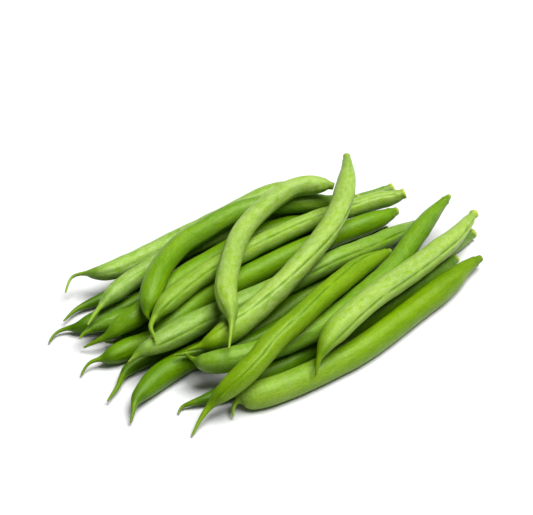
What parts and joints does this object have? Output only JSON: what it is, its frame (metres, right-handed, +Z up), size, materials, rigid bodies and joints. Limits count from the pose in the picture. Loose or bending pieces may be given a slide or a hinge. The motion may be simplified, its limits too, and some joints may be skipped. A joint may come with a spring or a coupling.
{
  "type": "green bean bundle",
  "caption": "Loose pile of fresh green beans lying side by side, slim curved pods with pointed beaks at one end and cut stems at the other.",
  "frame": {"origin": "middle of the pile's bounding box, at the surface it lies on", "axes": "+X along the beans towards their cut stems, +Y across the pile away from the viewer's side, +Z up"},
  "size_m": [0.1662, 0.1006, 0.0315],
  "materials": {
    "pod_light": "satin, waxy skin",
    "pod_fresh": "satin, waxy skin",
    "pod_deep": "satin, waxy skin"
  },
  "bodies": {
    "root": {"bean_top_long": "pod_light", "bean_top_curved": "pod_light", "bean_back_curved": "pod_fresh", "bean_back": "pod_fresh", "bean_back_floor": "pod_deep", "bean_left_upper": "pod_fresh", "bean_left_tail": "pod_deep", "bean_left_low": "pod_deep", "bean_left_mid": "pod_deep", "bean_left_front_upper": "pod_fresh", "bean_under_left": "pod_deep", "bean_left_front": "pod_fresh", "bean_mid_back": "pod_light", "bean_mid": "pod_fresh", "bean_mid_front": "pod_fresh", "bean_low_left": "pod_deep", "bean_low_front": "pod_fresh", "bean_front_mid": "pod_fresh", "bean_under_mid": "pod_deep", "bean_front_diagonal": "pod_light", "bean_front_upper": "pod_light", "bean_front_low": "pod_deep", "bean_under_front": "pod_deep", "bean_front": "pod_light", "bean_back_hidden": "pod_deep"}
  },
  "joints": []
}
